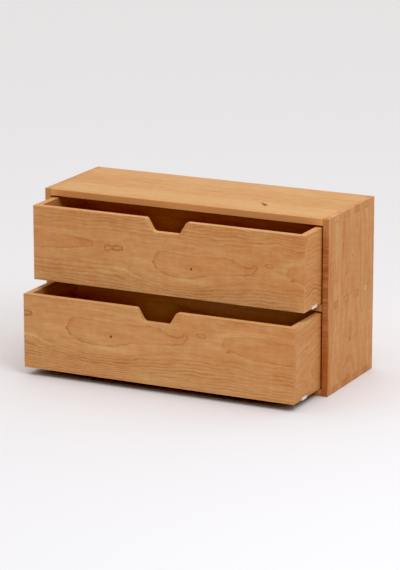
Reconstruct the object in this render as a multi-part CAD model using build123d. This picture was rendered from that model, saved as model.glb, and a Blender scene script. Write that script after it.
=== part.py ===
from build123d import *
import os

# Two-drawer tabletop cabinet in solid cherry, in millimetres.
# The carcass is finger jointed at its four corners, and the divider is tenoned through the sides.
# Each drawer is a lapped box with a finger notch in its front, and it runs on four nylon glides.
# Origin at the centre of the carcass underside, +Z up, drawers open towards -Y.

# Carcass
cabinet_width = 550.0
cabinet_depth = 198.0
bay_height = 139.0
side_thickness = 12.0
shelf_thickness = 12.0
finger_count = 4

# Back panel, seated in a rebate round the rear edges
back_thickness = 5.0
back_inset = 1.0
back_lap = 6.0

# Drawer box and its room in the bay
drawer_side_gap = 2.0
drawer_top_gap = 3.5
drawer_rear_gap = 0.5
front_thickness = 12.0
front_lip = 8.0
wall_thickness = 12.0
rear_thickness = 10.0
rear_setback = 6.0
rear_housing = 5.0

# Plywood base of a drawer, held in a groove on all four sides
base_thickness = 4.0
base_rise = 8.0
base_groove = 5.0
base_play = 0.15

# Finger notch in the top edge of a drawer front
notch_mouth = 78.0
notch_floor = 50.0
notch_depth = 23.0
notch_mouth_radius = 5.0
notch_floor_radius = 8.0

# Nylon glide let into the lower edge of a drawer side
glide_length = 20.0
glide_height = 5.0
glide_proud = 1.3
glide_setback = 33.0
glide_lead = 0.8

# How far each drawer stands open at rest
lower_pull = 108.0
upper_pull = 69.0

# Fits and edges
glue_gap = 0.05
panel_gap = 0.3
run_gap = 0.2
edge_round = 0.8
overrun = 1.0

# Places that follow from the sizes above
outer_x = cabinet_width / 2
inner_x = outer_x - side_thickness
front_y = -cabinet_depth / 2
rear_y = cabinet_depth / 2
back_y = rear_y - back_inset - back_thickness
bottom_z = 0
divider_z = bottom_z + shelf_thickness + bay_height
top_z = divider_z + shelf_thickness + bay_height
cabinet_height = top_z + shelf_thickness
segment = cabinet_depth / (2 * finger_count + 1)
finger_starts = [front_y + (2 * index + 1) * segment for index in range(finger_count)]

drawer_x = inner_x - drawer_side_gap
wall_x = drawer_x - wall_thickness
drawer_lift = run_gap + glide_proud
drawer_height = bay_height - drawer_lift - drawer_top_gap
drawer_depth = back_y - drawer_rear_gap - front_y
rear_board_y = drawer_depth - rear_setback - rear_thickness
glide_starts = {
    "front": glide_setback,
    "rear": drawer_depth - glide_setback - glide_length,
}


def block(low, high):
    """A plain block between its lowest and its highest corner."""
    size = [end - start for start, end in zip(low, high)]
    return Pos(*low) * Box(*size, align=(Align.MIN, Align.MIN, Align.MIN))


def mirrored(right_piece):
    """The left-hand twin of a right-hand piece."""
    return mirror(right_piece, about=Plane.YZ)


# The carcass is glued up, then its outer edges are eased together
carcass_outside = block((-outer_x, front_y, bottom_z), (outer_x, rear_y, cabinet_height))
carcass_outside = fillet(carcass_outside.edges(), edge_round)

# Recess that the rebates form together for the back panel
back_low_z = shelf_thickness - back_lap
back_high_z = cabinet_height - back_low_z
back_recess = block(
    (-inner_x - back_lap, back_y, back_low_z),
    (inner_x + back_lap, rear_y + overrun, back_high_z),
)


def shelf_board(low_z, board_rear_y):
    """A board across the carcass, with a row of fingers that pass through each side."""
    high_z = low_z + shelf_thickness
    board = block((-inner_x, front_y, low_z), (inner_x, board_rear_y, high_z))
    for start in finger_starts:
        end = start + segment
        board += block((-outer_x, start + glue_gap, low_z), (outer_x, end - glue_gap, high_z))
    return (board & carcass_outside) - back_recess


def side_board():
    """The right side, with a socket for every finger of the three boards."""
    board = block((inner_x, front_y, bottom_z), (outer_x, rear_y, cabinet_height)) & carcass_outside
    for low_z in (bottom_z, divider_z, top_z):
        for start in finger_starts:
            low = (inner_x - overrun, start, low_z)
            high = (outer_x + overrun, start + segment, low_z + shelf_thickness)
            board -= block(low, high)
    return board - back_recess


def back_board():
    """The thin back, with a little play round it in its rebate."""
    half_width = inner_x + back_lap - panel_gap
    low = (-half_width, back_y, back_low_z + panel_gap)
    high = (half_width, back_y + back_thickness, back_high_z - panel_gap)
    return block(low, high)


# Drawer pieces are drawn with the drawer's front face at Y 0 and its lower edge at Z 0
base_slot = block(
    (-wall_x - base_groove, front_thickness - base_groove, base_rise),
    (wall_x + base_groove, rear_board_y + base_groove, base_rise + base_thickness + base_play),
)


def off_centre(corner):
    """How far a corner of the front's outline lies from the middle of the notch."""
    return abs(corner.X)


def drawer_front():
    """The front, notched for the fingers and rebated at both ends to lap the sides."""
    floor_z = drawer_height - notch_depth
    outline = make_face(
        Polyline(
            (-drawer_x, 0),
            (drawer_x, 0),
            (drawer_x, drawer_height),
            (notch_mouth / 2, drawer_height),
            (notch_floor / 2, floor_z),
            (-notch_floor / 2, floor_z),
            (-notch_mouth / 2, drawer_height),
            (-drawer_x, drawer_height),
            close=True,
        )
    )
    outline = fillet(outline.vertices().sort_by(off_centre)[2:4], notch_mouth_radius)
    outline = fillet(outline.vertices().sort_by(off_centre)[:2], notch_floor_radius)
    board = extrude(Plane.XZ * outline, front_thickness, dir=(0, 1, 0))

    # The show face and the four outer corners are eased all round
    show_edges = board.faces().sort_by(Axis.Y)[0].edges()
    corner_edges = [edge for edge in board.edges().filter_by(Axis.Y) if abs(edge.center().X) > wall_x]
    board = fillet(show_edges + corner_edges, edge_round)

    # Rebates for the sides and a groove for the base
    rebate = block(
        (wall_x, front_lip, -overrun),
        (drawer_x + overrun, front_thickness + overrun, drawer_height + overrun),
    )
    board = board - rebate - mirrored(rebate) - base_slot

    # The inner top edge, down through the notch, is eased for the fingers
    inner_edges = board.faces().filter_by(Axis.Y).group_by(Axis.Y)[-1].edges()
    top_edges = [edge for edge in inner_edges if edge.bounding_box().min.Z > drawer_height / 2]
    return fillet(top_edges, edge_round)


def drawer_wall():
    """The right drawer side, housed for the back, grooved for the base and let in for two glides."""
    board = block((wall_x, front_lip, 0), (drawer_x, drawer_depth, drawer_height))
    free_edges = board.edges().filter_by_position(Axis.Y, front_lip, drawer_depth, inclusive=(False, True))
    board = fillet(free_edges, edge_round)
    board -= block(
        (wall_x - overrun, rear_board_y - glue_gap, -overrun),
        (wall_x + rear_housing, rear_board_y + rear_thickness + glue_gap, drawer_height + overrun),
    )
    board -= base_slot
    for start in glide_starts.values():
        low = (wall_x - overrun, start - glue_gap, -overrun)
        high = (drawer_x + overrun, start + glide_length + glue_gap, glide_height - glide_proud)
        board -= block(low, high)
    return board


def drawer_rear():
    """The drawer back, with its ends housed in the sides."""
    half_width = wall_x + rear_housing
    low = (-half_width, rear_board_y, 0)
    high = (half_width, rear_board_y + rear_thickness, drawer_height)
    board = block(low, high)
    board = fillet(board.edges().filter_by(Axis.X).group_by(Axis.Z)[-1], edge_round)
    return board - base_slot


def drawer_base():
    """The plywood base, lying on the lower wall of its groove."""
    half_width = wall_x + base_groove - panel_gap
    low = (-half_width, front_thickness - base_groove + panel_gap, base_rise)
    high = (half_width, rear_board_y + base_groove - panel_gap, base_rise + base_thickness)
    return block(low, high)


def drawer_glide(start):
    """A right-hand glide, bevelled where it meets the board it slides on."""
    low = (wall_x, start, -glide_proud)
    high = (drawer_x, start + glide_length, glide_height - glide_proud)
    pad = block(low, high)
    running_edges = pad.edges().filter_by(Axis.X).group_by(Axis.Z)[0]
    return chamfer(running_edges, glide_lead)


pieces = {
    "left_side_panel": mirrored(side_board()),
    "right_side_panel": side_board(),
    "bottom_panel": shelf_board(bottom_z, rear_y),
    "divider_panel": shelf_board(divider_z, back_y),
    "top_panel": shelf_board(top_z, rear_y),
    "back_panel": back_board(),
}

drawer_pieces = {
    "front": drawer_front(),
    "left_side": mirrored(drawer_wall()),
    "right_side": drawer_wall(),
    "back": drawer_rear(),
    "base": drawer_base(),
}
for end, start in glide_starts.items():
    drawer_pieces["glide_" + end + "_left"] = mirrored(drawer_glide(start))
    drawer_pieces["glide_" + end + "_right"] = drawer_glide(start)

drawer_places = {"lower": (lower_pull, bottom_z), "upper": (upper_pull, divider_z)}
for level, (pull, shelf_z) in drawer_places.items():
    place = Pos(0, front_y - pull, shelf_z + shelf_thickness + drawer_lift)
    for name, piece in drawer_pieces.items():
        pieces[level + "_drawer_" + name] = place * piece

os.makedirs("parts", exist_ok=True)
for name, piece in pieces.items():
    export_step(piece, "parts/" + name + ".step")
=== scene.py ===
import math
from collections import namedtuple

import bmesh
import bpy
from bpy.props import FloatProperty, FloatVectorProperty, PointerProperty
from bpy.types import Operator, Panel, PropertyGroup
from mathutils import Euler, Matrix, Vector


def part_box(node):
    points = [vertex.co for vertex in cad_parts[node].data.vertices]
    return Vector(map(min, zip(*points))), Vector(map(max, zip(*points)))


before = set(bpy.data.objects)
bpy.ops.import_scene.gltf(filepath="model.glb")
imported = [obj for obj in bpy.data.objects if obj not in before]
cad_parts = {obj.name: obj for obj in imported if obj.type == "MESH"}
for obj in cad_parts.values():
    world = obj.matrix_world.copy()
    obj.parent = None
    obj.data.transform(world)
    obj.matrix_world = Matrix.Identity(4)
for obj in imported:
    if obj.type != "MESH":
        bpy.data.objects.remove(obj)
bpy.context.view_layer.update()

bl_info = {
    "name": "Mini drawer cabinet",
    "version": (1, 0, 0),
    "blender": (4, 5, 0),
    "location": "View3D > Sidebar > Cabinet",
    "description": "Finishes for a two-drawer tabletop cabinet in oiled cherry, and a plain studio round it",
    "category": "Object",
}

MILLIMETRE = 0.001


def half_size(node):
    """Half of a piece's length, depth and height, in millimetres."""
    low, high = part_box(node)
    return (high - low) / (2 * MILLIMETRE)


# Half sizes of a shelf board, and how far from the middle of a side panel the drawers' bays end
HALF_LENGTH, HALF_DEPTH, HALF_THICKNESS = half_size("top_panel")
BAY_END = half_size("right_side_panel").z - 2 * HALF_THICKNESS

# Four fingers and the five gaps beside them share a board's depth
HALF_FINGER = HALF_DEPTH / 9
FINGER_MIDDLES = tuple(place * HALF_FINGER for place in (-6, -2, 2, 6))

# How squarely a surface faces along or across the grain where it starts to be an end or edge, and fully is
EDGE_STARTS = 0.4
EDGE_FULL = 0.8

# Turns that lay a board's grain along X, its width along Y and its thickness along Z
GRAIN_ACROSS = (0.0, 0.0, 0.0)
GRAIN_UPRIGHT = (0.0, math.radians(90), 0.0)
GRAIN_ON_FRONT = (math.radians(-90), 0.0, 0.0)
GRAIN_IN_DEPTH = (math.radians(-90), math.radians(-90), 0.0)

# How a board was cut from its log. Lengths are in millimetres of the board, from its middle.
Cut = namedtuple(
    "Cut",
    (
        "turn",  # which way the board lies
        "seed",  # shifts its waves and tones
        "pith_across",  # where the heart of the log lies, seen from the face
        "pith_depth",
        "ring",  # width of the first rings
        "crowding",  # how much closer the outer rings stand
        "start",  # ring number at the face's middle
        "lean",  # its change along and across the grain
        "swells",  # places where the rings bulge: along, across, length, width, number of rings
        "knots",  # pin knots: along, across, length, width, darkness
        "bold",  # places where the lines stand out: along, across, length, width
        "faint",  # places where the lines fade away: along, across, length, width, share lost
        "shades",  # paler or deeper places, some of them painted light or shade: along, across, length, width, change of tone
        "strips",  # edge-glued strips: where one starts across the board, and its change of tone
        "lively",  # strength of the patches, streaks and fibres
        "lines",  # strength of the ring lines
        "breadth",  # how many times broader they are than usual
        "ends",  # how dark the cut ends are
        "edges",  # how far the long edges differ from the face, partly with painted highlight, light or shade
        "edge_kind",  # their colour: pale (a painted highlight), painted_lit_edge (painted light) or dark_edge_and_shade (oil and painted shade)
        "arris",  # side of the thickness, 1 or -1, whose arris by the drawers gets painted shade, standing in for the gap's shadow
        "tone",  # paler board below nought, deeper above
        "blush",  # yellower board below nought, rosier above
    ),
    defaults=(
        *(10.0, 60.0, 9.0, 0.3, 0.3, (0.002, 0.0, 0.0)),
        *((), (), (), (), (), ()),
        *(0.8, 0.5, 1.0, 0.1, 0.0, "pale", 0, 0.0, 0.0),
    ),
)

# How much each layer of the grain shifts the tone
LAYERS = {"band": 0.9, "broad": 0.4, "streak": 0.3, "mottle": 0.5, "fibre": 0.9}

# Patches in the wood: length along the grain and width across it in millimetres, shift of the seed, fineness
PATCHES = {
    "fade": (50, 7, 11, 3.0),
    "broad": (150, 34, 23, 2.0),
    "streak": (80, 6, 29, 3.0),
    "mottle": (9, 22, 31, 2.0),
    "hue": (60, 16, 53, 3.0),
    "rung": (3.2, 60, 61, 3.0),
}

# Bands that follow the rings: their length in millimetres, and how many there are to a ring
BAND_LENGTH = 90
BANDS_PER_RING = 3.2

# Late wood ahead of a ring's line, and early wood behind it: reach in millimetres, change of tone
LATE_WOOD = (4, 0.15)
EARLY_WOOD = (7, -0.12)

# Step in millimetres over which the pace of the rings is taken, and the slowest pace in rings a millimetre,
# which keeps a line narrow where a ring runs level with the face
PACE_STEP = 0.5
SLOWEST_PACE = 0.012

# The plank that both drawer fronts come from, measured from its pin knot.
# It was cut almost along one ring, so the ring breaks through the face in islands and curls.
FRONT_PLANK = Cut(
    turn=GRAIN_ON_FRONT,
    seed=3.0,
    pith_across=25.0,
    pith_depth=60.0,
    ring=9.0,
    crowding=1.3,
    start=-0.155,
    lean=(-0.0002, 0.0096, 0.0),
    swells=(
        (-340, 23.5, 105, 19.4, 0.64),
        (-206.5, 24.4, 11.7, 5.0, 0.42),
        (-163, 18.8, 7.9, 8.2, 0.43),
        (-141, 20.7, 16.3, 6.8, 0.66),
        (-19, -28, 91, 32.5, 1.36),
        (64, 4.8, 55, 10.2, 0.74),
        (101.5, 14.6, 11.8, 6.7, -0.16),
        (121.5, 16.1, 5.0, 6.7, 0.16),
        (147, 20.5, 10.8, 6.6, 0.65),
        (265, -4.4, 74, 19.3, 0.82),
        (-129, 16.2, 45.7, 16.0, -0.48),
        (147.5, 12.6, 22.1, 14.9, -0.58),
        (-138, -14.4, 41.3, 16.8, -0.24),
    ),
    knots=((0, 0, 2.4, 2.2, 0.9), (191, -0.5, 5.0, 1.8, 0.4)),
    bold=(
        (112, 14, 22, 11),
        (147, 20, 16, 9),
        (-150, 20, 32, 10),
        (-215, 25, 26, 10),
        (-76, 4, 14, 16),
    ),
    faint=(
        (18, 22, 52, 8, 0.9),
        (58, -6, 40, 8, 0.5),
        (-285, 33, 55, 10, 0.9),
        (235, 22, 50, 9, 0.85),
        (240, -18, 50, 9, 0.7),
    ),
    shades=(
        (-92, 4, 24, 9, -0.4),
        (8, -23, 46, 6, -0.4),
        (165, 1, 15, 9, -0.45),
        (-160, -15, 60, 5, -0.15),
        (215, 4, 40, 12, 0.15),
    ),
    lively=1.0,
    lines=0.7,
    ends=0.0,
    # Paler long edges: a painted highlight
    edges=0.5,
    tone=-0.05,
)


def linear_rgb(code):
    """Turns an sRGB hex colour into the linear values that Blender works with."""
    parts = [int(code[place:place + 2], 16) / 255 for place in (1, 3, 5)]
    return tuple(part / 12.92 if part <= 0.04045 else ((part + 0.055) / 1.055) ** 2.4 for part in parts)


def add(tree, kind, inputs, **options):
    """Adds a node, sets its options and feeds its inputs with values, sockets or other nodes."""
    node = tree.nodes.new(kind)
    for name, value in options.items():
        setattr(node, name, value)
    for place, value in inputs.items():
        if isinstance(value, bpy.types.Node):
            value = value.outputs[0]
        if isinstance(value, bpy.types.NodeSocket):
            tree.links.new(value, node.inputs[place])
        else:
            node.inputs[place].default_value = value
    return node


class CherryLook(PropertyGroup):
    """Colours and sizes of the oiled cherry"""

    pale: FloatVectorProperty(
        name="Pale wood",
        description="Yellowish early wood of the oiled cherry",
        subtype="COLOR",
        min=0,
        max=1,
        default=linear_rgb("#DEB077"),
    )
    rosy: FloatVectorProperty(
        name="Rosy wood",
        description="Pinker early wood of the oiled cherry",
        subtype="COLOR",
        min=0,
        max=1,
        default=linear_rgb("#DA9D67"),
    )
    deep: FloatVectorProperty(
        name="Deep wood",
        description="Late wood of the oiled cherry",
        subtype="COLOR",
        min=0,
        max=1,
        default=linear_rgb("#C57E48"),
    )
    line: FloatVectorProperty(
        name="Ring line",
        description="Thin line where a ring ends",
        subtype="COLOR",
        min=0,
        max=1,
        default=linear_rgb("#A0532B"),
    )
    # Painted light: a paler, warmer colour on the top's front edge, standing in for light that the drawers
    # keep off it
    painted_lit_edge: FloatVectorProperty(
        name="Warm edge",
        description="Long edges where the cut shows warmer wood",
        subtype="COLOR",
        min=0,
        max=1,
        default=linear_rgb("#EEA465"),
    )
    # Partly oil taken up by edges cut across the rings, and partly painted shade where the drawers shadow
    # the front edges of the divider, bottom and right side
    dark_edge_and_shade: FloatVectorProperty(
        name="Dark edge",
        description="Long edges that were cut across the rings and took up more oil",
        subtype="COLOR",
        min=0,
        max=1,
        default=linear_rgb("#A0623F"),
    )
    knot: FloatVectorProperty(
        name="Pin knot",
        description="Core of a pin knot",
        subtype="COLOR",
        min=0,
        max=1,
        default=linear_rgb("#661E04"),
    )
    ring_line: FloatProperty(
        name="Ring line width",
        description="Width of the dark line at the end of a ring",
        unit="LENGTH",
        default=0.9 * MILLIMETRE,
    )
    wave_length: FloatProperty(
        name="Wave length",
        description="Length of the waves in the grain",
        unit="LENGTH",
        default=55 * MILLIMETRE,
    )
    wave_height: FloatProperty(
        name="Wave height",
        description="How far the waves push the rings aside",
        unit="LENGTH",
        default=9 * MILLIMETRE,
    )
    jag_length: FloatProperty(
        name="Jag length",
        description="Length of the small jags in a ring line",
        unit="LENGTH",
        default=9 * MILLIMETRE,
    )
    jag_height: FloatProperty(
        name="Jag height",
        description="How far the small jags push a ring line aside",
        unit="LENGTH",
        default=4.5 * MILLIMETRE,
    )
    fibre_length: FloatProperty(
        name="Fibre length",
        description="Length of the fine streaks along the grain",
        unit="LENGTH",
        default=30 * MILLIMETRE,
    )
    fibre_width: FloatProperty(
        name="Fibre width",
        description="Width of the fine streaks along the grain, coarser than real fibres so that they show",
        unit="LENGTH",
        default=2.6 * MILLIMETRE,
    )
    roughness: FloatProperty(
        name="Roughness",
        description="How dull the oiled surface is",
        subtype="FACTOR",
        min=0,
        max=1,
        default=0.46,
    )


class PlywoodLook(PropertyGroup):
    """Colours and sizes of the cherry-faced plywood"""

    veneer: FloatVectorProperty(
        name="Veneer",
        description="Straight-grained cherry veneer",
        subtype="COLOR",
        min=0,
        max=1,
        default=linear_rgb("#F0A66B"),
    )
    streak: FloatVectorProperty(
        name="Streak",
        description="Darker streaks in the veneer",
        subtype="COLOR",
        min=0,
        max=1,
        default=linear_rgb("#CE8C56"),
    )
    # Painted shade: dark colour under a drawer's base, so that the shadow under the drawer stays deep
    shadow_underside: FloatVectorProperty(
        name="Underside",
        description="Plain dark veneer under a drawer",
        subtype="COLOR",
        min=0,
        max=1,
        default=linear_rgb("#5A3A22"),
    )
    streak_width: FloatProperty(
        name="Streak width",
        description="Width of the streaks across the veneer",
        unit="LENGTH",
        default=7 * MILLIMETRE,
    )
    pore_length: FloatProperty(
        name="Pore length",
        description="Length of the pores that show as fine dashes",
        unit="LENGTH",
        default=14 * MILLIMETRE,
    )
    roughness: FloatProperty(
        name="Roughness",
        description="How dull the thinly oiled veneer is",
        subtype="FACTOR",
        min=0,
        max=1,
        default=0.58,
    )


class NylonLook(PropertyGroup):
    """Colours of the moulded nylon"""

    body: FloatVectorProperty(
        name="Nylon",
        description="Moulded white nylon of the glides",
        subtype="COLOR",
        min=0,
        max=1,
        default=linear_rgb("#F2EEE8"),
    )
    rubbed: FloatVectorProperty(
        name="Rubbed nylon",
        description="Places polished and tinted by sliding",
        subtype="COLOR",
        min=0,
        max=1,
        default=linear_rgb("#E2DBD2"),
    )


class StudioLook(PropertyGroup):
    """Camera, floor and light"""

    azimuth: FloatProperty(
        name="Azimuth",
        description="Camera's turn round the cabinet from straight ahead",
        subtype="ANGLE",
        default=math.radians(26.172),
    )
    elevation: FloatProperty(
        name="Elevation",
        description="Camera's height above the horizon",
        subtype="ANGLE",
        default=math.radians(14.737),
    )
    distance: FloatProperty(
        name="Distance",
        description="Camera's distance from what it looks at",
        unit="LENGTH",
        default=5.0788,
    )
    aim: FloatVectorProperty(
        name="Aim",
        description="Point that the camera looks at",
        subtype="TRANSLATION",
        unit="LENGTH",
        default=(0.0072, -0.050, 0.157),
    )
    lens: FloatProperty(
        name="Lens",
        description="Focal length in millimetres on a 36 mm sensor",
        default=182.16,
    )
    floor: FloatVectorProperty(
        name="Floor",
        description="Plain pale floor",
        subtype="COLOR",
        min=0,
        max=1,
        default=linear_rgb("#EFECEC"),
    )
    floor_radius: FloatProperty(
        name="Floor radius",
        description="How far the floor reaches",
        unit="LENGTH",
        default=14.0,
    )
    dome: FloatProperty(
        name="Dome",
        description="Strength of the soft light overhead, which fades to nothing in front, low down",
        default=1.75,
    )
    wall: FloatProperty(
        name="Wall",
        description="Brightness of the pale wall behind, as a share of the dome",
        subtype="FACTOR",
        min=0,
        max=1,
        default=0.48,
    )
    lamp: FloatProperty(
        name="Lamp",
        description="Strength of the broad lamp over the cabinet, in watts",
        default=15.5,
    )
    lamp_colour: FloatVectorProperty(
        name="Lamp colour",
        description="Slightly cool light of both lamps",
        subtype="COLOR",
        min=0,
        max=1,
        default=linear_rgb("#E6F0FF"),
    )
    lamp_size: FloatProperty(
        name="Lamp size",
        description="Side of the square lamp",
        unit="LENGTH",
        default=1.0,
    )
    lamp_place: FloatVectorProperty(
        name="Lamp place",
        description="Where the lamp hangs",
        subtype="TRANSLATION",
        unit="LENGTH",
        default=(1.4, -1.0, 1.92),
    )
    fill: FloatProperty(
        name="Fill",
        description="Strength of the distant lamp in front that reaches into the drawers, in watts",
        default=22.0,
    )
    fill_size: FloatProperty(
        name="Fill size",
        description="Side of the square fill lamp",
        unit="LENGTH",
        default=0.7,
    )
    fill_place: FloatVectorProperty(
        name="Fill place",
        description="Where the fill lamp stands",
        subtype="TRANSLATION",
        unit="LENGTH",
        default=(1.95, -4.0, 1.15),
    )
    horizon: FloatVectorProperty(
        name="Horizon",
        description="Pale tone behind the floor, where the camera sees past it",
        subtype="COLOR",
        min=0,
        max=1,
        default=linear_rgb("#E1DEDE"),
    )
    black_point: FloatProperty(
        name="Black point",
        description="Light at which the picture sinks to black",
        min=0,
        max=1,
        precision=4,
        default=0.011,
    )


class CabinetLook(PropertyGroup):
    """All that a user would change"""

    cherry: PointerProperty(name="Cherry", description="Oiled solid cherry", type=CherryLook)
    plywood: PointerProperty(name="Plywood", description="Cherry-faced plywood", type=PlywoodLook)
    nylon: PointerProperty(name="Nylon", description="Moulded nylon", type=NylonLook)
    studio: PointerProperty(name="Studio", description="Floor, light and camera", type=StudioLook)


def dress(node, material):
    """Gives a piece of the cabinet its finish."""
    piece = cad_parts[node]
    if not piece.material_slots:
        raise RuntimeError("no material slot on " + node)
    for slot in piece.material_slots:
        slot.material = material


def new_material(name):
    """A material with its node tree and its shader."""
    material = bpy.data.materials.new(name)
    material.use_nodes = True
    return material, material.node_tree, material.node_tree.nodes["Principled BSDF"]


def middle_of(node):
    """The middle of a piece's box."""
    low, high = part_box(node)
    return (low + high) / 2


def board_point(tree, cut, origin, stretch):
    """Millimetres along the grain, across it and into the board, counted from a point of the board."""
    scale = Vector(1 / (MILLIMETRE * part) for part in stretch)
    turn = Euler(cut.turn)
    middle = turn.to_matrix() @ Vector(part * size for part, size in zip(origin, scale))
    place = add(tree, "ShaderNodeTexCoord", {})
    return add(
        tree,
        "ShaderNodeMapping",
        {"Vector": place.outputs["Object"], "Location": -middle, "Rotation": turn, "Scale": scale},
        vector_type="POINT",
    )


def board_normal(tree, cut):
    """Which way a surface faces: along the grain, across it and out of the board."""
    place = add(tree, "ShaderNodeTexCoord", {})
    return add(
        tree,
        "ShaderNodeMapping",
        {"Vector": place.outputs["Normal"], "Rotation": Euler(cut.turn)},
        vector_type="VECTOR",
    )


def patches(tree, point, length, width, seed, detail=2.0):
    """Random patches of a given length along the grain and width across it."""
    inner = add(
        tree,
        "ShaderNodeVectorMath",
        {0: point, 1: (1 / length, 1 / width, 1 / width), 2: (seed, seed * 1.7, seed * 0.6)},
        operation="MULTIPLY_ADD",
    )
    return add(tree, "ShaderNodeTexNoise", {"Vector": inner, "Scale": 1.0, "Detail": detail})


def wood_patches(tree, point, cut, kind):
    """Patches of one kind in the wood of a board."""
    length, width, shift, detail = PATCHES[kind]
    return patches(tree, point, length, width, cut.seed + shift, detail)


def spot(tree, point, along, across, length, width):
    """Full strength at one place of a board, fading away round it."""
    offset = add(
        tree,
        "ShaderNodeVectorMath",
        {0: point, 1: (1 / length, 1 / width, 0), 2: (-along / length, -across / width, 0)},
        operation="MULTIPLY_ADD",
    )
    square = add(tree, "ShaderNodeVectorMath", {0: offset, 1: offset}, operation="DOT_PRODUCT")
    return add(tree, "ShaderNodeMath", {0: math.exp(-1), 1: square.outputs["Value"]}, operation="POWER")


def ring_number(tree, point, cut):
    """Counts the growth rings out from the heart of the log to a point of the board."""
    reach = add(
        tree,
        "ShaderNodeVectorMath",
        {0: point, 1: (0, 1, 1), 2: (0, -cut.pith_across, cut.pith_depth)},
        operation="MULTIPLY_ADD",
    )
    radius = add(tree, "ShaderNodeVectorMath", {0: reach}, operation="LENGTH")
    lean = add(tree, "ShaderNodeVectorMath", {0: point, 1: cut.lean}, operation="DOT_PRODUCT")
    count = add(
        tree,
        "ShaderNodeMath",
        {0: radius.outputs["Value"], 1: 1 / cut.ring, 2: cut.start - cut.pith_depth / cut.ring},
        operation="MULTIPLY_ADD",
    )
    count = add(tree, "ShaderNodeMath", {0: count, 1: lean.outputs["Value"]}, operation="ADD")
    for *place, rings in cut.swells:
        swell = spot(tree, point, *place)
        count = add(tree, "ShaderNodeMath", {0: swell, 1: -rings, 2: count}, operation="MULTIPLY_ADD")
    outer = add(tree, "ShaderNodeMath", {0: count, 1: 1.0}, operation="SUBTRACT")
    outer = add(tree, "ShaderNodeMath", {0: outer, 1: 0.0}, operation="MAXIMUM")
    return add(tree, "ShaderNodeMath", {0: outer, 1: cut.crowding, 2: count}, operation="MULTIPLY_ADD")


def sway(tree, point, place, cut, look):
    """Pushes the rings aside by long waves, which grow off the board's middle, and by jags, which fade."""
    # Millimetres off the middle over which they change, and their width as a share of their length
    calm, wild = 15, 45
    wave_width, jag_width = 0.44, 0.6
    wave_length = look.wave_length / MILLIMETRE
    wave_height = look.wave_height / MILLIMETRE
    jag_length = look.jag_length / MILLIMETRE
    jag_height = look.jag_height / MILLIMETRE
    wave = patches(tree, point, wave_length, wave_length * wave_width, cut.seed)
    jag = patches(tree, point, jag_length, jag_length * jag_width, cut.seed + 7, 3.0)
    # Each one's height along, across and into the board, and its share at the middle and far off it
    pushes = (
        (wave, (wave_height * 1.3, wave_height, wave_height * 0.5), 0.6, 1.5),
        (jag, (jag_height, jag_height, 0), 1.7, 0.8),
    )
    off_middle = add(tree, "ShaderNodeMath", {0: place.outputs["Y"]}, operation="ABSOLUTE")
    for push, height, inward, outward in pushes:
        share = add(
            tree,
            "ShaderNodeMapRange",
            {"Value": off_middle, "From Min": calm, "From Max": wild, "To Min": inward, "To Max": outward},
        )
        push = add(
            tree,
            "ShaderNodeVectorMath",
            {0: push.outputs["Color"], 1: (0.5, 0.5, 0.5)},
            operation="SUBTRACT",
        )
        push = add(tree, "ShaderNodeVectorMath", {0: push, 1: share}, operation="MULTIPLY")
        point = add(tree, "ShaderNodeVectorMath", {0: push, 1: height, 2: point}, operation="MULTIPLY_ADD")
    return point


def ring_gaps(tree, swayed, count, cut):
    """Millimetres left to the end of the ring, and gone since the end of the one before."""
    rises = []
    for shift in ((PACE_STEP, 0, 0), (0, PACE_STEP, 0)):
        aside = add(tree, "ShaderNodeVectorMath", {0: swayed, 1: shift}, operation="ADD")
        beyond = ring_number(tree, aside, cut)
        rises.append(add(tree, "ShaderNodeMath", {0: beyond, 1: count}, operation="SUBTRACT"))
    rise = add(tree, "ShaderNodeCombineXYZ", {0: rises[0], 1: rises[1]})
    rise = add(tree, "ShaderNodeVectorMath", {0: rise}, operation="LENGTH")
    pace = add(tree, "ShaderNodeMath", {0: rise.outputs["Value"], 1: 1 / PACE_STEP}, operation="MULTIPLY")
    pace = add(tree, "ShaderNodeMath", {0: pace, 1: SLOWEST_PACE}, operation="MAXIMUM")
    part = add(tree, "ShaderNodeMath", {0: count}, operation="FRACT")
    rest = add(tree, "ShaderNodeMath", {0: 1.0, 1: part}, operation="SUBTRACT")
    before = add(tree, "ShaderNodeMath", {0: rest, 1: pace}, operation="DIVIDE")
    after = add(tree, "ShaderNodeMath", {0: part, 1: pace}, operation="DIVIDE")
    return before, after


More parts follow.
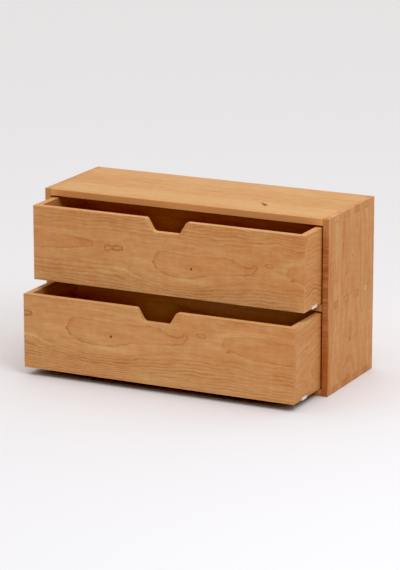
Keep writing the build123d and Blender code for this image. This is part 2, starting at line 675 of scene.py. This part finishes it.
def ring_lines(tree, point, count, before, after, cut, look):
    """Thin line at the end of each ring, sharp on its outer side, and broader where it stands out."""
    bold_width = 2.0
    bold_strength = 0.35
    outer_sharpness = 2.0
    stress = 0.0
    for bold in cut.bold:
        stress = add(tree, "ShaderNodeMath", {0: stress, 1: spot(tree, point, *bold)}, operation="MAXIMUM")
    width = add(tree, "ShaderNodeMapRange", {"Value": stress, "To Min": 1.0, "To Max": bold_width})
    ring_line = look.ring_line / MILLIMETRE * cut.breadth
    width = add(tree, "ShaderNodeMath", {0: width, 1: ring_line}, operation="MULTIPLY")
    outside = add(tree, "ShaderNodeMath", {0: after, 1: outer_sharpness}, operation="MULTIPLY")
    nearest = add(tree, "ShaderNodeMath", {0: outside, 1: before}, operation="MINIMUM")
    nearest = add(tree, "ShaderNodeMath", {0: nearest, 1: width}, operation="DIVIDE")
    line = add(tree, "ShaderNodeMath", {0: math.exp(-1), 1: nearest}, operation="POWER")

    # Each ring has its own strength, and its line fades in and out
    weakest = 0.5
    faded = 0.2
    whole = add(tree, "ShaderNodeMath", {0: count}, operation="ROUND")
    whole = add(tree, "ShaderNodeMath", {0: whole, 1: cut.seed}, operation="ADD")
    chance = add(tree, "ShaderNodeTexWhiteNoise", {"W": whole}, noise_dimensions="1D")
    strength = add(
        tree,
        "ShaderNodeMapRange",
        {"Value": chance.outputs["Value"], "To Min": weakest * cut.lines, "To Max": cut.lines},
    )
    fade = wood_patches(tree, point, cut, "fade")
    fade = add(
        tree,
        "ShaderNodeMapRange",
        {"Value": fade, "From Min": 0.38, "From Max": 0.6, "To Min": faded, "To Max": 1.0},
    )
    strength = add(tree, "ShaderNodeMath", {0: strength, 1: fade}, operation="MULTIPLY")
    strength = add(
        tree,
        "ShaderNodeMath",
        {0: stress, 1: bold_strength, 2: strength},
        operation="MULTIPLY_ADD",
    )
    for *where, share in cut.faint:
        kept = spot(tree, point, *where)
        kept = add(tree, "ShaderNodeMath", {0: kept, 1: -share, 2: 1.0}, operation="MULTIPLY_ADD")
        strength = add(tree, "ShaderNodeMath", {0: strength, 1: kept}, operation="MULTIPLY")
    return add(tree, "ShaderNodeMath", {0: line, 1: strength}, operation="MULTIPLY")


def wood_tone(tree, point, place, swayed, count, gaps, fibre, cut):
    """How deep the wood is: nought for early wood, one for late wood."""
    tone = 0.5 + cut.tone - cut.lively * sum(LAYERS.values()) / 2

    # Late wood darkens towards the line, and early wood starts pale behind it
    for gap, (reach, change) in zip(gaps, (LATE_WOOD, EARLY_WOOD)):
        near = add(tree, "ShaderNodeMath", {0: gap, 1: 1 / reach}, operation="MULTIPLY")
        near = add(tree, "ShaderNodeMath", {0: math.exp(-1), 1: near}, operation="POWER")
        tone = add(tree, "ShaderNodeMath", {0: near, 1: change, 2: tone}, operation="MULTIPLY_ADD")

    # Bands within a ring follow its line, and patches, streaks, mottle and fibres lie over them
    along = add(tree, "ShaderNodeMath", {0: place.outputs["X"], 1: 1 / BAND_LENGTH}, operation="MULTIPLY")
    across = add(
        tree,
        "ShaderNodeMath",
        {0: count, 1: BANDS_PER_RING, 2: cut.seed},
        operation="MULTIPLY_ADD",
    )
    within = add(tree, "ShaderNodeCombineXYZ", {0: along, 1: across})
    layers = {
        "band": add(tree, "ShaderNodeTexNoise", {"Vector": within, "Scale": 1.0, "Detail": 3.0}),
        "broad": wood_patches(tree, point, cut, "broad"),
        "streak": wood_patches(tree, swayed, cut, "streak"),
        "mottle": wood_patches(tree, point, cut, "mottle"),
        "fibre": fibre,
    }
    for kind, layer in layers.items():
        share = LAYERS[kind] * cut.lively
        tone = add(tree, "ShaderNodeMath", {0: layer, 1: share, 2: tone}, operation="MULTIPLY_ADD")

    # Paler or deeper places, which on some boards are painted light or shade, and strips that were glued
    # edge to edge, with a joint a millimetre wide
    half_joint = 0.5
    for *where, change in cut.shades:
        shade = spot(tree, point, *where)
        tone = add(tree, "ShaderNodeMath", {0: shade, 1: change, 2: tone}, operation="MULTIPLY_ADD")
    for start, change in cut.strips:
        strip = add(
            tree,
            "ShaderNodeMapRange",
            {
                "Value": place.outputs["Y"],
                "From Min": start - half_joint,
                "From Max": start + half_joint,
                "To Max": change,
            },
        )
        tone = add(tree, "ShaderNodeMath", {0: tone, 1: strip}, operation="ADD")
    return tone


def early_wood(tree, point, count, cut, look):
    """Early wood, rosier where the inner rings show, and in patches."""
    # Ring numbers that count as inner ones, and how much rosier they are
    inner, rosier = 0.6, 0.15
    inmost = add(
        tree,
        "ShaderNodeMapRange",
        {"Value": count, "From Min": -inner, "From Max": inner, "To Min": rosier, "To Max": 0.0},
    )
    hue = wood_patches(tree, point, cut, "hue")
    hue = add(tree, "ShaderNodeMath", {0: hue, 1: inmost}, operation="ADD")
    even = 0.515 - cut.blush
    spread = 0.235 / cut.lively
    hue = add(
        tree,
        "ShaderNodeMapRange",
        {"Value": hue, "From Min": even - spread, "From Max": even + spread},
    )
    return add(
        tree,
        "ShaderNodeMix",
        {0: hue, 6: (*look.pale, 1.0), 7: (*look.rosy, 1.0)},
        data_type="RGBA",
    )


def edge_tone_and_painted_light(tree, point, place, normal, facing, cut):
    """How much of its own colour a long edge has: a pale one is a painted highlight, the lit one is painted
    light and has it only in front, and a dark one is oil with painted shade.
    """
    toward = facing
    if cut.edge_kind == "painted_lit_edge":
        toward = add(tree, "ShaderNodeVectorMath", {0: normal, 1: (-1, -1, -1)}, operation="MULTIPLY")
        toward = add(tree, "ShaderNodeSeparateXYZ", {0: toward})
    edge = add(
        tree,
        "ShaderNodeMapRange",
        {"Value": toward.outputs["Y"], "From Min": EDGE_STARTS, "From Max": EDGE_FULL, "To Max": cut.edges},
    )
    if cut.edge_kind != "dark_edge_and_shade" or cut.turn != GRAIN_UPRIGHT:
        return edge

    # Upright dark edges have bands across them, and their painted shade fades in the last millimetres of the
    # top bay, above the drawer beside them
    paler_from, palest_from = 40, 7
    palest = 0.3
    rungs = wood_patches(tree, point, cut, "rung")
    rungs = add(
        tree,
        "ShaderNodeMapRange",
        {"Value": rungs, "From Min": 0.35, "From Max": 0.65, "To Min": 0.35, "To Max": 1.4},
    )
    edge = add(tree, "ShaderNodeMath", {0: edge, 1: rungs}, operation="MULTIPLY")
    upper = add(
        tree,
        "ShaderNodeMapRange",
        {
            "Value": place.outputs["X"],
            "From Min": BAY_END - paler_from,
            "From Max": BAY_END - palest_from,
            "To Min": 1.0,
            "To Max": palest,
        },
    )
    return add(tree, "ShaderNodeMath", {0: edge, 1: upper}, operation="MULTIPLY")


def painted_arris_shade(tree, place, facing, cut):
    """How dark the painted shade is on the arris that the drawers pass, as far as the bays reach, standing
    in for the shadow in the gap.
    """
    # Millimetres from the face where the painted shade starts and is full, and over which it ends past a bay
    shade_starts, shade_full = 1.8, 0.8
    fringe = 2
    in_bays, past_bays = 0.85, 0.2
    brink = add(tree, "ShaderNodeMath", {0: place.outputs["Z"], 1: cut.arris}, operation="MULTIPLY")
    brink = add(
        tree,
        "ShaderNodeMapRange",
        {
            "Value": brink,
            "From Min": HALF_THICKNESS - shade_starts,
            "From Max": HALF_THICKNESS - shade_full,
            "To Max": in_bays,
        },
    )
    brink = add(tree, "ShaderNodeMath", {0: brink, 1: facing.outputs["Y"]}, operation="MULTIPLY")
    off_middle = add(tree, "ShaderNodeMath", {0: place.outputs["X"]}, operation="ABSOLUTE")
    within = add(
        tree,
        "ShaderNodeMapRange",
        {
            "Value": off_middle,
            "From Min": BAY_END - fringe,
            "From Max": BAY_END + fringe,
            "To Min": 1.0,
            "To Max": past_bays,
        },
    )
    return add(tree, "ShaderNodeMath", {0: brink, 1: within}, operation="MULTIPLY")


def glue_line(tree, place, facing):
    """How dark the glue line is round the end of each finger."""
    # Millimetres from the finger's rim where the line is full and where it ends
    line_full, line_ends = 0.3, 1.6
    darkness = 0.42
    sideways = add(tree, "ShaderNodeMath", {0: place.outputs["Y"], 1: HALF_DEPTH}, operation="ADD")
    sideways = add(tree, "ShaderNodeMath", {0: sideways, 1: HALF_FINGER}, operation="PINGPONG")
    upward = add(tree, "ShaderNodeMath", {0: place.outputs["Z"]}, operation="ABSOLUTE")
    upward = add(tree, "ShaderNodeMath", {0: HALF_THICKNESS, 1: upward}, operation="SUBTRACT")
    rim = add(tree, "ShaderNodeMath", {0: sideways, 1: upward}, operation="MINIMUM")
    rim = add(
        tree,
        "ShaderNodeMapRange",
        {"Value": rim, "From Min": line_full, "From Max": line_ends, "To Min": darkness, "To Max": 0.0},
    )
    return add(tree, "ShaderNodeMath", {0: rim, 1: facing.outputs["X"]}, operation="MULTIPLY")


def oiled_cherry(name, cut, origin, look, stretch=(1.0, 1.0, 1.0), fingers=False):
    """Oiled solid cherry, planed and sanded.

    The eye gets honey-coloured early wood with rosy patches, a thin red-brown line where each ring ends,
    bands that follow the rings, faint streaks of fibre and a satin sheen. Cut ends drink more oil and are
    darker. Long edges get a painted highlight, painted light or oil with painted shade, and the arris beside
    the drawers painted shade.
    """
    material, tree, shader = new_material("oiled_cherry_" + name)
    point = board_point(tree, cut, origin, stretch)
    place = add(tree, "ShaderNodeSeparateXYZ", {0: point})
    normal = board_normal(tree, cut)
    facing = add(tree, "ShaderNodeVectorMath", {0: normal}, operation="ABSOLUTE")
    facing = add(tree, "ShaderNodeSeparateXYZ", {0: facing})
    swayed = sway(tree, point, place, cut, look)
    count = ring_number(tree, swayed, cut)
    gaps = ring_gaps(tree, swayed, count, cut)

    # Real fibres are too fine to show in the picture, so they are drawn coarser
    fibre_length = look.fibre_length / MILLIMETRE
    fibre_width = look.fibre_width / MILLIMETRE
    fibre = patches(tree, swayed, fibre_length, fibre_width, cut.seed + 43, 3.0)
    tone = wood_tone(tree, point, place, swayed, count, gaps, fibre, cut)
    colour = add(
        tree,
        "ShaderNodeMix",
        {0: tone, 6: early_wood(tree, point, count, cut, look).outputs[2], 7: (*look.deep, 1.0)},
        data_type="RGBA",
        clamp_factor=False,
    )

    # Pin knots, dull and dark
    rim, heart = 0.2, 0.7
    dull = 0.0
    cores = []
    for *where, darkness in cut.knots:
        core = spot(tree, swayed, *where)
        core = add(
            tree,
            "ShaderNodeMapRange",
            {"Value": core, "From Min": rim, "From Max": heart, "To Max": darkness},
        )
        cores.append(core)
        dull = add(tree, "ShaderNodeMath", {0: dull, 1: core}, operation="MAXIMUM")

    # Cut ends take up more oil
    end = add(
        tree,
        "ShaderNodeMapRange",
        {"Value": facing.outputs["X"], "From Min": EDGE_STARTS, "From Max": EDGE_FULL, "To Max": cut.ends},
    )

    # What lies over the wood, from the first to the last: its own marks, and painted highlight, light and
    # shade on edges and arrises
    stains_and_painted_light = [(ring_lines(tree, point, count, *gaps, cut, look), look.line)]
    stains_and_painted_light += [(core, look.knot) for core in cores]
    stains_and_painted_light.append((end, look.line))
    stains_and_painted_light.append((edge_tone_and_painted_light(tree, point, place, normal, facing, cut), getattr(look, cut.edge_kind)))
    # Painted shade on the arris beside the drawers, darkening it as the gap's shadow would
    if cut.arris:
        stains_and_painted_light.append((painted_arris_shade(tree, place, facing, cut), look.knot))
    if fingers:
        stains_and_painted_light.append((glue_line(tree, place, facing), look.knot))
    for share, tint in stains_and_painted_light:
        colour = add(
            tree,
            "ShaderNodeMix",
            {0: share, 6: colour.outputs[2], 7: (*tint, 1.0)},
            data_type="RGBA",
        )
    tree.links.new(colour.outputs[2], shader.inputs["Base Color"])

    # Satin oil that sits unevenly on the fibres and leaves the knots dull
    uneven = 0.1
    dulling = 0.4
    gloss = add(
        tree,
        "ShaderNodeMapRange",
        {"Value": fibre, "To Min": look.roughness - uneven, "To Max": look.roughness + uneven},
    )
    gloss = add(tree, "ShaderNodeMath", {0: dull, 1: dulling, 2: gloss}, operation="MULTIPLY_ADD")
    tree.links.new(gloss.outputs[0], shader.inputs["Roughness"])
    bump = add(tree, "ShaderNodeBump", {"Strength": 0.12, "Distance": 0.2 * MILLIMETRE, "Height": fibre})
    tree.links.new(bump.outputs[0], shader.inputs["Normal"])
    shader.inputs["IOR"].default_value = 1.5
    shader.inputs["Specular IOR Level"].default_value = 0.04
    return material


def cherry_plywood(name, cut, origin, look, shadow_below=False):
    """Cherry-faced plywood, thinly oiled and matt.

    The eye gets straight, even streaks and short pores, and under a drawer a dark veneer, painted shade that
    keeps the shadow under the drawer deep.
    """
    material, tree, shader = new_material("cherry_plywood_" + name)
    point = board_point(tree, cut, origin, (1.0, 1.0, 1.0))
    streak_length = 260
    streak = patches(tree, point, streak_length, look.streak_width / MILLIMETRE, cut.seed, 3.0)

    # Real pores are too narrow to show in the picture, so they are drawn broader
    pore_length = look.pore_length / MILLIMETRE
    pore_slimness = 12
    pore = patches(tree, point, pore_length, pore_length / pore_slimness, cut.seed + 5, 2.0)
    pore_share = 0.5
    streak_share = 1.5
    tone = cut.tone + 0.5 - (pore_share + streak_share) / 2
    tone = add(tree, "ShaderNodeMath", {0: pore, 1: pore_share, 2: tone}, operation="MULTIPLY_ADD")
    tone = add(tree, "ShaderNodeMath", {0: streak, 1: streak_share, 2: tone}, operation="MULTIPLY_ADD")
    colour = add(
        tree,
        "ShaderNodeMix",
        {0: tone, 6: (*look.veneer, 1.0), 7: (*look.streak, 1.0)},
        data_type="RGBA",
        clamp_factor=False,
    )

    # A drawer's base is painted dark below, as painted shade that keeps the floor under the drawer dark
    if shadow_below:
        facing = add(tree, "ShaderNodeSeparateXYZ", {0: board_normal(tree, cut)})
        below = add(
            tree,
            "ShaderNodeMapRange",
            {"Value": facing.outputs["Z"], "From Min": -0.4, "From Max": -0.6},
        )
        colour = add(
            tree,
            "ShaderNodeMix",
            {0: below, 6: colour.outputs[2], 7: (*look.shadow_underside, 1.0)},
            data_type="RGBA",
        )
    tree.links.new(colour.outputs[2], shader.inputs["Base Color"])
    uneven = 0.1
    gloss = add(
        tree,
        "ShaderNodeMapRange",
        {"Value": pore, "To Min": look.roughness - uneven, "To Max": look.roughness + uneven},
    )
    tree.links.new(gloss.outputs[0], shader.inputs["Roughness"])
    bump = add(tree, "ShaderNodeBump", {"Strength": 0.1, "Distance": 0.2 * MILLIMETRE, "Height": pore})
    tree.links.new(bump.outputs[0], shader.inputs["Normal"])
    shader.inputs["IOR"].default_value = 1.5
    shader.inputs["Specular IOR Level"].default_value = 0.2
    return material


def moulded_nylon(look):
    """Moulded white nylon. The eye gets a milky white with a soft, slightly uneven gloss."""
    material, tree, shader = new_material("moulded_nylon")
    cloud_size = 4 * MILLIMETRE
    shiniest, dullest = 0.3, 0.5
    place = add(tree, "ShaderNodeTexCoord", {})
    cloud = add(
        tree,
        "ShaderNodeTexNoise",
        {"Vector": place.outputs["Object"], "Scale": 1 / cloud_size, "Detail": 2.0},
    )
    colour = add(
        tree,
        "ShaderNodeMix",
        {0: cloud, 6: (*look.body, 1.0), 7: (*look.rubbed, 1.0)},
        data_type="RGBA",
    )
    tree.links.new(colour.outputs[2], shader.inputs["Base Color"])
    gloss = add(tree, "ShaderNodeMapRange", {"Value": cloud, "To Min": shiniest, "To Max": dullest})
    tree.links.new(gloss.outputs[0], shader.inputs["Roughness"])
    shader.inputs["IOR"].default_value = 1.53
    return material


class CABINET_OT_shelf_boards(Operator):
    """Finish the top, divider and bottom in oiled cherry, with the ends of their fingers"""

    bl_idname = "cabinet.shelf_boards"
    bl_label = "Top, divider and bottom"

    def execute(self, context):
        look = context.scene.cabinet_look.cherry
        boards = {
            "top_panel": Cut(
                GRAIN_ACROSS,
                5.0,
                knots=(
                    (121, -37, 3.0, 5.0, 0.6),
                    (125, -44, 4.2, 6.0, 0.9),
                    (129.5, -51, 3.4, 5.0, 0.65),
                ),
                shades=((0, -96, 900, 12, 0.12), (0, 5, 900, 30, 0.08)),
                strips=((-29, 0.16), (50, -0.12)),
                lively=0.65,
                lines=0.4,
                # The top's front edge gets painted light
                edges=0.85,
                edge_kind="painted_lit_edge",
                tone=-0.23,
                blush=-0.55,
            ),
            # The divider's and bottom's front edges are darker as painted shade, as under the lower drawer
            "divider_panel": Cut(GRAIN_ACROSS, 17.0, edges=0.25, edge_kind="dark_edge_and_shade"),
            "bottom_panel": Cut(GRAIN_ACROSS, 29.0, edges=0.45, edge_kind="dark_edge_and_shade"),
        }

        # Change of tone of each finger's end, from front to back on the right
        finger_tones = {
            "top_panel": (0.1, 0.25, 0.5, 0.3),
            "divider_panel": (0.3, 0.15, 0.1, -0.6),
            "bottom_panel": (0.2, 0.45, 0.2, 0.25),
        }

        # Millimetres that a change covers along and across the grain
        reach, width = 8, 9
        for node, cut in boards.items():
            shades = list(cut.shades)
            for across, change in zip(FINGER_MIDDLES, finger_tones[node]):
                shades.append((HALF_LENGTH, across, reach, width, change))
                shades.append((-HALF_LENGTH, -across, reach, width, change))
            cut = cut._replace(shades=tuple(shades))
            dress(node, oiled_cherry(node, cut, middle_of(node), look, fingers=True))
        return {"FINISHED"}


class CABINET_OT_side_panels(Operator):
    """Finish both sides of the carcass in oiled cherry with upright grain"""

    bl_idname = "cabinet.side_panels"
    bl_label = "Side panels"

    def execute(self, context):
        look = context.scene.cabinet_look.cherry
        calm = Cut(
            GRAIN_UPRIGHT,
            8.0,
            pith_across=0.0,
            pith_depth=120.0,
            ring=12.0,
            start=0.8,
            lively=0.85,
            lines=0.35,
            breadth=1.6,
            ends=0.0,
            edge_kind="dark_edge_and_shade",
            tone=0.04,
            blush=-0.18,
        )
        right = calm._replace(
            swells=((-62, -1, 17, 6, 0.6), (-157, -14, 30, 22, 1.6)),
            knots=((-76, -2, 3.4, 2.6, 0.45), (72, 3.5, 2.6, 1.8, 0.35), (44, -21, 2.4, 1.8, 0.25)),
            bold=((-62, -1, 24, 10), (-150, -14, 26, 24)),
            # The last of these is painted shade on the front edge's lower part, beside the lower drawer
            shades=((0, -92, 900, 16, 0.2), (70, 0, 120, 200, 0.08), (-105, -99, 60, 5, 0.6)),
            strips=((-45, 0.06), (41, -0.06)),
            edges=0.76,
            # Painted shade on the inner arris beside the drawers
            arris=1,
        )
        left = calm._replace(
            seed=37.0,
            knots=((38, 24, 3.0, 2.6, 0.7),),
            swells=((48, 22, 20, 6, 0.6),),
            strips=((-30, 0.1), (52, -0.1)),
            edges=0.33,
            arris=-1,
        )
        for node, cut in (("left_side_panel", left), ("right_side_panel", right)):
            dress(node, oiled_cherry(node, cut, middle_of(node), look))
        return {"FINISHED"}


class CABINET_OT_back_panel(Operator):
    """Finish the back panel in cherry-faced plywood"""

    bl_idname = "cabinet.back_panel"
    bl_label = "Back panel"

    def execute(self, context):
        look = context.scene.cabinet_look.plywood
        cut = Cut(GRAIN_ON_FRONT, 41.0, tone=0.4)
        dress("back_panel", cherry_plywood("back_panel", cut, middle_of("back_panel"), look))
        return {"FINISHED"}


class CABINET_OT_drawer_fronts(Operator):
    """Finish both drawer fronts from one plank of oiled cherry"""

    bl_idname = "cabinet.drawer_fronts"
    bl_label = "Drawer fronts"

    def execute(self, context):
        look = context.scene.cabinet_look.cherry

        # Where the pin knot lies, in metres from the cabinet's middle and up from the lower edge, and how
        # far the figure is drawn out along each axis
        places = {
            "upper_drawer_front": (0.0477, 0.0535, (1.0, 1.0, 1.0)),
            "lower_drawer_front": (-0.0883, 0.0774, (1.185, 1.0, 1.05)),
        }
        # Each front's own tones. The paler band along the bottom is painted light and the deeper right end
        # painted shade, evening out how the lamps fall; the others are the wood's tone.
        own_tones_and_light = {
            "upper_drawer_front": (
                (0, -50, 900, 14, -0.2),
                (0, 72, 900, 22, 0.1),
                (190, 0, 110, 90, 0.18),
            ),
            "lower_drawer_front": (
                (0, -68, 900, 10, -0.1),
                (25, 0, 70, 60, -0.16),
                (290, 0, 110, 90, 0.1),
            ),
        }
        for node, (along, up, stretch) in places.items():
            low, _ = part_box(node)
            origin = (along, low.y, low.z + up)
            cut = FRONT_PLANK._replace(shades=FRONT_PLANK.shades + own_tones_and_light[node])
            dress(node, oiled_cherry(node, cut, origin, look, stretch))
        return {"FINISHED"}


class CABINET_OT_drawer_walls(Operator):
    """Finish the sides and backs of both drawers in oiled cherry"""

    bl_idname = "cabinet.drawer_walls"
    bl_label = "Drawer sides and backs"

    def execute(self, context):
        look = context.scene.cabinet_look.cherry
        # Paler long edges on the sides and backs: a painted highlight
        side = Cut(GRAIN_IN_DEPTH, 50.0, edges=0.4, tone=0.05)
        rear = Cut(GRAIN_ON_FRONT, 52.0, edges=0.4, tone=-0.2, blush=0.5)
        cuts = {
            # A deeper tone here is painted shade on the lower drawer's inside
            "lower_drawer_left_side": side._replace(tone=0.15),
            "lower_drawer_right_side": side._replace(
                seed=57.0,
                pith_across=-30.0,
                ring=13.0,
                lean=(-0.008, 0.0, 0.0),
            ),
            # Painted light: paler in the middle and right, deeper at the left, as if the inside were lit
            # from the left front
            "lower_drawer_back": rear._replace(
                shades=((60, 0, 140, 200, -0.6), (-230, 0, 110, 200, 0.6)),
            ),
            "upper_drawer_left_side": side._replace(seed=64.0),
            "upper_drawer_right_side": side._replace(
                seed=71.0,
                pith_across=-110.0,
                pith_depth=30.0,
                ring=10.0,
                swells=((-60, -38, 20, 26, 1.1),),
                bold=((-62, -34, 60, 15),),
                faint=((-62, 28, 120, 42, 0.85),),
                lines=0.6,
            ),
            # A deeper tone here is painted shade, darkening the upper drawer's inside
            "upper_drawer_back": rear._replace(seed=78.0, tone=0.35, blush=0.0),
        }
        for node, cut in cuts.items():
            dress(node, oiled_cherry(node, cut, middle_of(node), look))
        return {"FINISHED"}


class CABINET_OT_drawer_bases(Operator):
    """Finish the bases of both drawers in cherry-faced plywood"""

    bl_idname = "cabinet.drawer_bases"
    bl_label = "Drawer bases"

    def execute(self, context):
        look = context.scene.cabinet_look.plywood
        cuts = {
            "lower_drawer_base": Cut(GRAIN_ACROSS, 61.0, tone=0.0),
            # The upper base is deeper as painted shade, keeping its drawer's inside dark
            "upper_drawer_base": Cut(GRAIN_ACROSS, 67.0, tone=1.3),
        }
        for node, cut in cuts.items():
            dress(node, cherry_plywood(node, cut, middle_of(node), look, shadow_below=True))
        return {"FINISHED"}


class CABINET_OT_glides(Operator):
    """Finish the eight glides in moulded nylon"""

    bl_idname = "cabinet.glides"
    bl_label = "Glides"

    def execute(self, context):
        nylon = moulded_nylon(context.scene.cabinet_look.nylon)
        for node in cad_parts:
            if "_glide_" in node:
                dress(node, nylon)
        return {"FINISHED"}


class CABINET_OT_studio(Operator):
    """Set up the plain floor, the soft light and the camera"""

    bl_idname = "cabinet.studio"
    bl_label = "Studio"

    def execute(self, context):
        scene = context.scene
        look = scene.cabinet_look.studio

        # Plain pale floor, just under the cabinet
        floor_gap = 0.2 * MILLIMETRE
        disc = bmesh.new()
        bmesh.ops.create_circle(disc, cap_ends=True, segments=96, radius=look.floor_radius)
        bmesh.ops.translate(disc, verts=disc.verts, vec=(0, 0, -floor_gap))
        mesh = bpy.data.meshes.new("studio_floor")
        disc.to_mesh(mesh)
        disc.free()

        # Matt studio paper, which gives an even pale tone with hardly any shine
        paper, _, shader = new_material("matt_studio_paper")
        shader.inputs["Base Color"].default_value = (*look.floor, 1.0)
        shader.inputs["Roughness"].default_value = 0.9
        shader.inputs["Specular IOR Level"].default_value = 0.2
        mesh.materials.append(paper)
        floor = bpy.data.objects.new("studio_floor", mesh)
        scene.collection.objects.link(floor)

        # Soft light overhead that fades to nothing in front, low down, and a pale wall behind
        world = bpy.data.worlds.new("studio_dome")
        world.use_nodes = True
        tree = world.node_tree
        around = add(tree, "ShaderNodeTexCoord", {})
        ray = add(tree, "ShaderNodeSeparateXYZ", {0: around.outputs["Generated"]})
        wall = add(tree, "ShaderNodeMath", {0: ray.outputs["Y"], 1: look.wall}, operation="MULTIPLY")
        overhead = add(tree, "ShaderNodeMath", {0: ray.outputs["Z"], 1: 0.0}, operation="MAXIMUM")
        steepness = 2.0
        overhead = add(tree, "ShaderNodeMath", {0: overhead, 1: steepness}, operation="POWER")
        level = add(tree, "ShaderNodeMath", {0: overhead, 1: wall}, operation="MAXIMUM")
        strength = add(tree, "ShaderNodeMapRange", {"Value": level, "To Max": look.dome})
        dome = tree.nodes["Background"]
        dome.inputs["Color"].default_value = (1.0, 1.0, 1.0, 1.0)
        tree.links.new(strength.outputs[0], dome.inputs["Strength"])
        behind = add(tree, "ShaderNodeBackground", {"Color": (*look.horizon, 1.0), "Strength": 1.0})
        seen = add(tree, "ShaderNodeLightPath", {})
        both = add(tree, "ShaderNodeMixShader", {0: seen.outputs["Is Camera Ray"], 1: dome, 2: behind})
        tree.links.new(both.outputs[0], tree.nodes["World Output"].inputs["Surface"])
        scene.world = world

        # Broad lamp overhead and a distant one in front, both turned to the cabinet
        lamps = {
            "overhead_lamp": (look.lamp, look.lamp_size, look.lamp_place),
            "fill_lamp": (look.fill, look.fill_size, look.fill_place),
        }
        placed = {}
        for name, (energy, size, place) in lamps.items():
            lamp = bpy.data.lights.new(name, "AREA")
            lamp.shape = "SQUARE"
            lamp.size = size
            lamp.energy = energy
            lamp.color = look.lamp_colour
            lamp_object = bpy.data.objects.new(name, lamp)
            lamp_object.location = place
            aim = Vector(look.aim) - Vector(place)
            lamp_object.rotation_euler = aim.to_track_quat("-Z", "Y").to_euler()
            lamp_object.visible_camera = False
            scene.collection.objects.link(lamp_object)
            placed[name] = lamp_object

        # The fill lamp leaves out the floor, so that the shadow under the lower drawer stays deep
        left_out = bpy.data.collections.new("fill_lamp_leaves_out")
        left_out.objects.link(floor)
        left_out.collection_objects[0].light_linking.link_state = "EXCLUDE"
        placed["fill_lamp"].light_linking.receiver_collection = left_out

        # Camera at the photograph's angle
        camera = bpy.data.cameras.new("camera")
        camera.lens = look.lens
        camera.clip_end = 100
        camera_object = bpy.data.objects.new("camera", camera)
        flat = math.cos(look.elevation)
        back = Vector(
            (math.sin(look.azimuth) * flat, -math.cos(look.azimuth) * flat, math.sin(look.elevation))
        )
        camera_object.location = Vector(look.aim) + back * look.distance
        camera_object.rotation_euler = (math.radians(90) - look.elevation, 0, look.azimuth)
        scene.collection.objects.link(camera_object)
        scene.camera = camera_object

        # Plain colours with a camera's black point, so that gaps and deep shadows sink
        grade = scene.view_settings
        grade.view_transform = "Standard"
        grade.use_curve_mapping = True
        grade.curve_mapping.black_level = [look.black_point] * 3
        grade.curve_mapping.update()
        return {"FINISHED"}


class CABINET_PT_sidebar(Panel):
    """Lists the steps that finish the cabinet"""

    bl_idname = "CABINET_PT_sidebar"
    bl_label = "Mini drawer cabinet"
    bl_space_type = "VIEW_3D"
    bl_region_type = "UI"
    bl_category = "Cabinet"

    def draw(self, context):
        for operator in OPERATORS:
            self.layout.operator(operator.bl_idname)
        looks = context.scene.cabinet_look
        for look in (looks.cherry, looks.plywood, looks.nylon, looks.studio):
            box = self.layout.box()
            for name in look.__annotations__:
                box.prop(look, name)


OPERATORS = (
    CABINET_OT_shelf_boards,
    CABINET_OT_side_panels,
    CABINET_OT_back_panel,
    CABINET_OT_drawer_fronts,
    CABINET_OT_drawer_walls,
    CABINET_OT_drawer_bases,
    CABINET_OT_glides,
    CABINET_OT_studio,
)
CLASSES = (CherryLook, PlywoodLook, NylonLook, StudioLook, CabinetLook, *OPERATORS, CABINET_PT_sidebar)


def register():
    for item in CLASSES:
        bpy.utils.register_class(item)
    bpy.types.Scene.cabinet_look = PointerProperty(type=CabinetLook)


def unregister():
    del bpy.types.Scene.cabinet_look
    for item in reversed(CLASSES):
        bpy.utils.unregister_class(item)


def main():
    register()
    bpy.ops.cabinet.shelf_boards()
    bpy.ops.cabinet.side_panels()
    bpy.ops.cabinet.back_panel()
    bpy.ops.cabinet.drawer_fronts()
    bpy.ops.cabinet.drawer_walls()
    bpy.ops.cabinet.drawer_bases()
    bpy.ops.cabinet.glides()
    bpy.ops.cabinet.studio()


if __name__ == "__main__":
    main()
